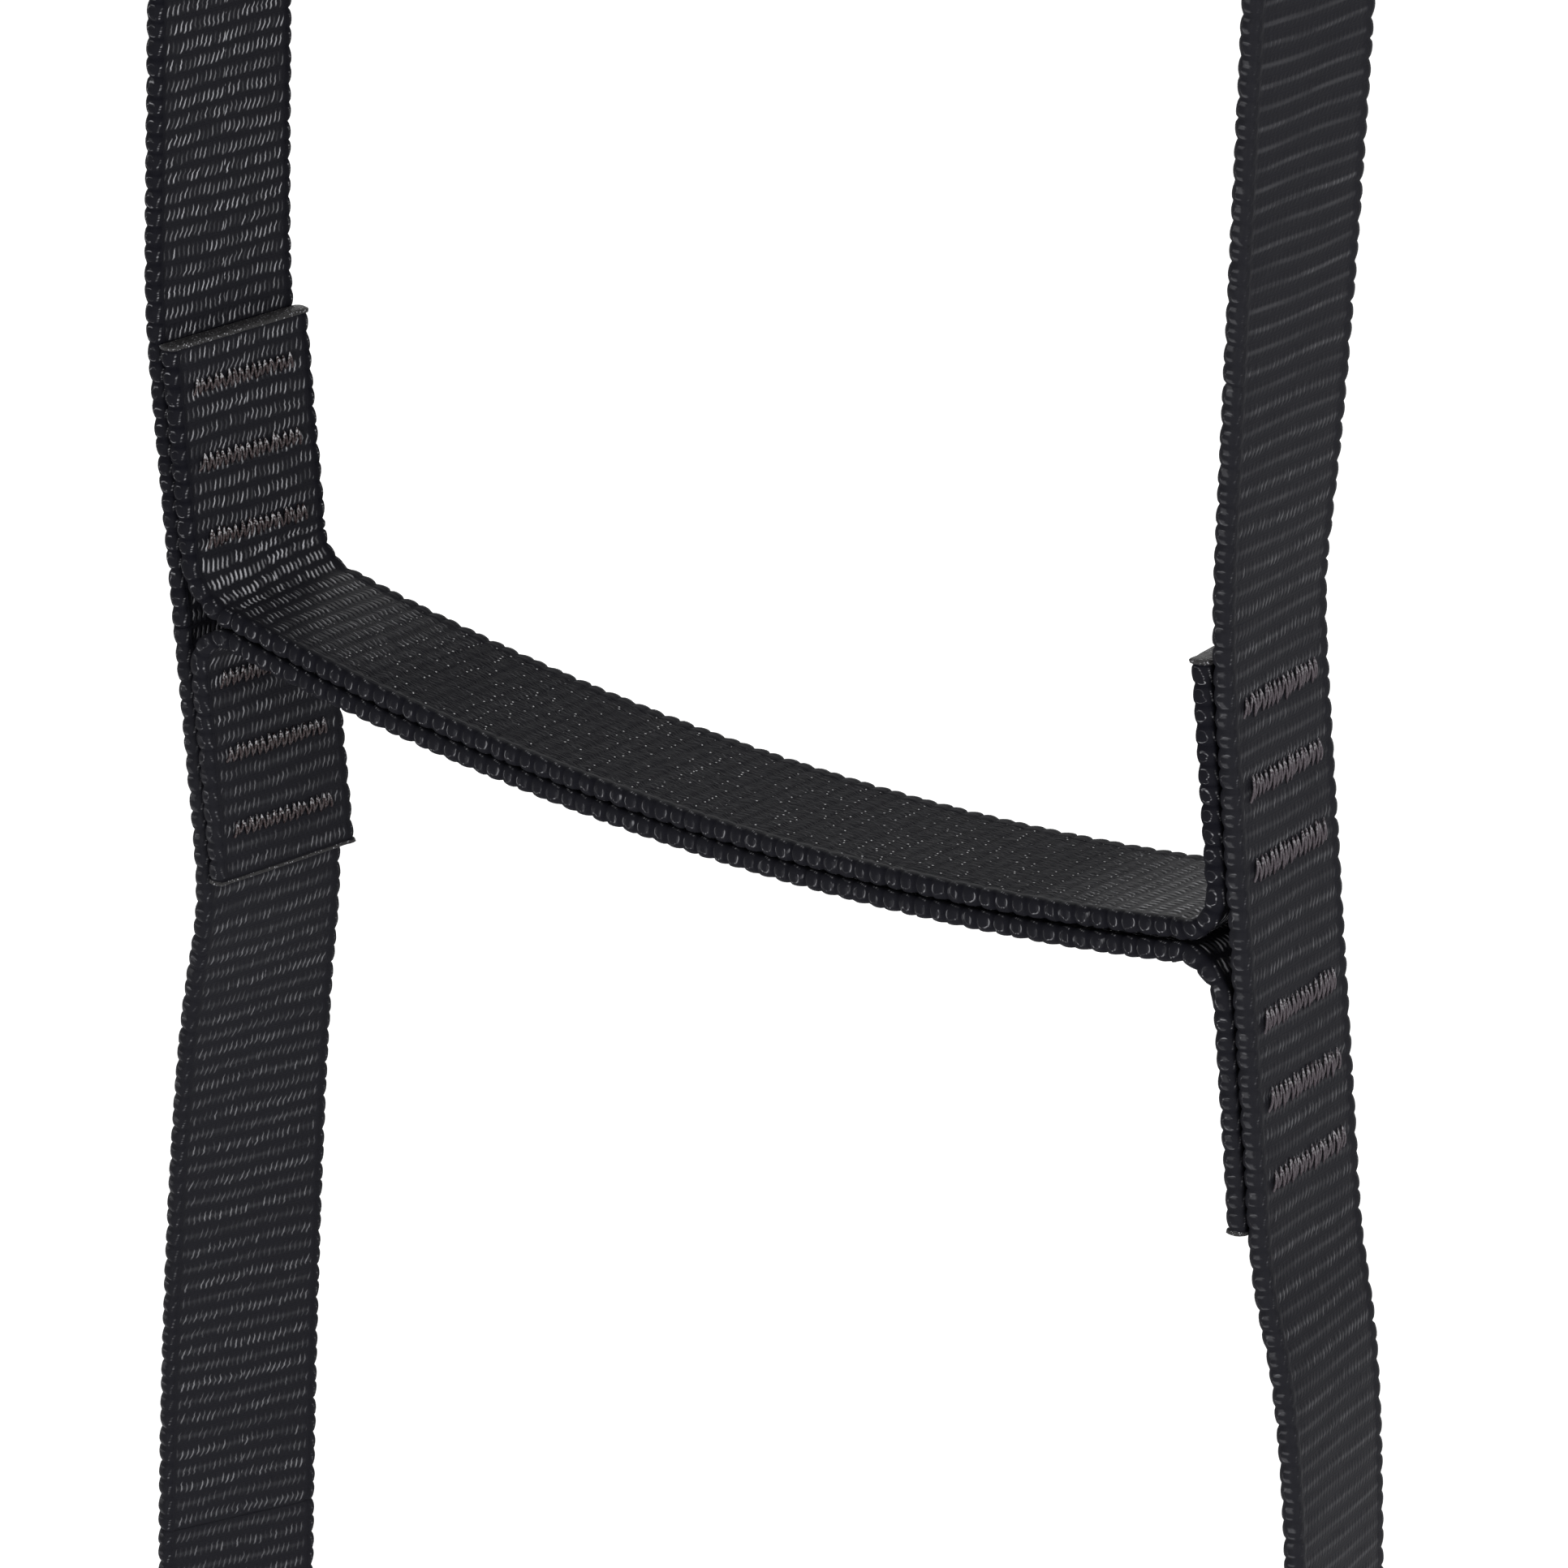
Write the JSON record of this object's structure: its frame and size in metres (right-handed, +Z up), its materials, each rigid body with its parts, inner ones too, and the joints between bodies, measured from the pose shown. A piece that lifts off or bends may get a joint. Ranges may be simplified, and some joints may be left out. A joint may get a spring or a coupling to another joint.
{
  "type": "etrier",
  "caption": "Hanging webbing ladder with a looped clip-in eye, two-ply webbing steps and bar-tacked side straps that let the steps swing sideways.",
  "frame": {"origin": "where a connector bears on the inside of the clip-in eye's crown, on the ladder's centre line", "axes": "+Z up along the hanging ladder, X across the steps from left to right, Y through the width of the webbing, away from the viewer"},
  "size_m": [0.217, 0.0279, 1.3131],
  "materials": {
    "webbing": "black woven polyamide webbing, matt with small glints on the yarns",
    "thread": "black bonded sewing thread, slightly warm and glossy"
  },
  "bodies": {
    "head": {"head_webbing": "webbing", "eye_tacks": "thread", "step_1_upper_ply": "webbing", "step_1_lower_ply": "webbing", "step_1_upper_left_tacks": "thread", "step_1_upper_right_tacks": "thread", "step_1_lower_left_tacks": "thread", "step_1_lower_right_tacks": "thread"},
    "left_strap_1": {"left_strap_below_step_1": "webbing"},
    "right_strap_1": {"right_strap_below_step_1": "webbing"},
    "step_2": {"left_strap_at_step_2": "webbing", "right_strap_at_step_2": "webbing", "step_2_upper_ply": "webbing", "step_2_lower_ply": "webbing", "step_2_upper_left_tacks": "thread", "step_2_upper_right_tacks": "thread", "step_2_lower_left_tacks": "thread", "step_2_lower_right_tacks": "thread"},
    "left_strap_2": {"left_strap_below_step_2": "webbing"},
    "right_strap_2": {"right_strap_below_step_2": "webbing"},
    "step_3": {"left_strap_at_step_3": "webbing", "right_strap_at_step_3": "webbing", "step_3_upper_ply": "webbing", "step_3_lower_ply": "webbing", "step_3_upper_left_tacks": "thread", "step_3_upper_right_tacks": "thread", "step_3_lower_left_tacks": "thread", "step_3_lower_right_tacks": "thread"},
    "left_strap_3": {"left_strap_below_step_3": "webbing"},
    "right_strap_3": {"right_strap_below_step_3": "webbing"},
    "step_4": {"left_strap_at_step_4": "webbing", "right_strap_at_step_4": "webbing", "step_4_upper_ply": "webbing", "step_4_lower_ply": "webbing", "step_4_upper_left_tacks": "thread", "step_4_upper_right_tacks": "thread", "step_4_lower_left_tacks": "thread", "step_4_lower_right_tacks": "thread"}
  },
  "joints": [
    {"name": "left_swing_1", "type": "hinge", "parent": "head", "child": "left_strap_1", "pos_m": [-0.09147, 0, -0.4046], "axis": [0, 1, 0], "range_deg": [-30, 30]},
    {"name": "right_swing_1", "type": "hinge", "parent": "head", "child": "right_strap_1", "pos_m": [0.09935, 0, -0.4046], "axis": [0, 1, 0], "range_deg": [-30, 30]},
    {"name": "step_2_level", "type": "hinge", "parent": "left_strap_1", "child": "step_2", "pos_m": [-0.0995, 0, -0.61387], "axis": [0, 1, 0], "range_deg": [-30, 30]},
    {"name": "left_swing_2", "type": "hinge", "parent": "step_2", "child": "left_strap_2", "pos_m": [-0.09147, 0, -0.7046], "axis": [0, 1, 0], "range_deg": [-30, 30]},
    {"name": "right_swing_2", "type": "hinge", "parent": "step_2", "child": "right_strap_2", "pos_m": [0.09935, 0, -0.7046], "axis": [0, 1, 0], "range_deg": [-30, 30]},
    {"name": "step_3_level", "type": "hinge", "parent": "left_strap_2", "child": "step_3", "pos_m": [-0.0995, 0, -0.91387], "axis": [0, 1, 0], "range_deg": [-30, 30]},
    {"name": "left_swing_3", "type": "hinge", "parent": "step_3", "child": "left_strap_3", "pos_m": [-0.09147, 0, -1.0046], "axis": [0, 1, 0], "range_deg": [-30, 30]},
    {"name": "right_swing_3", "type": "hinge", "parent": "step_3", "child": "right_strap_3", "pos_m": [0.09935, 0, -1.0046], "axis": [0, 1, 0], "range_deg": [-30, 30]},
    {"name": "step_4_level", "type": "hinge", "parent": "left_strap_3", "child": "step_4", "pos_m": [-0.0995, 0, -1.21387], "axis": [0, 1, 0], "range_deg": [-30, 30]}
  ],
  "couplings": [
    {"joint": "right_swing_1", "follows": "left_swing_1", "ratio": 1},
    {"joint": "step_2_level", "follows": "left_swing_1", "ratio": -1},
    {"joint": "right_swing_2", "follows": "left_swing_2", "ratio": 1},
    {"joint": "step_3_level", "follows": "left_swing_2", "ratio": -1},
    {"joint": "right_swing_3", "follows": "left_swing_3", "ratio": 1},
    {"joint": "step_4_level", "follows": "left_swing_3", "ratio": -1}
  ]
}
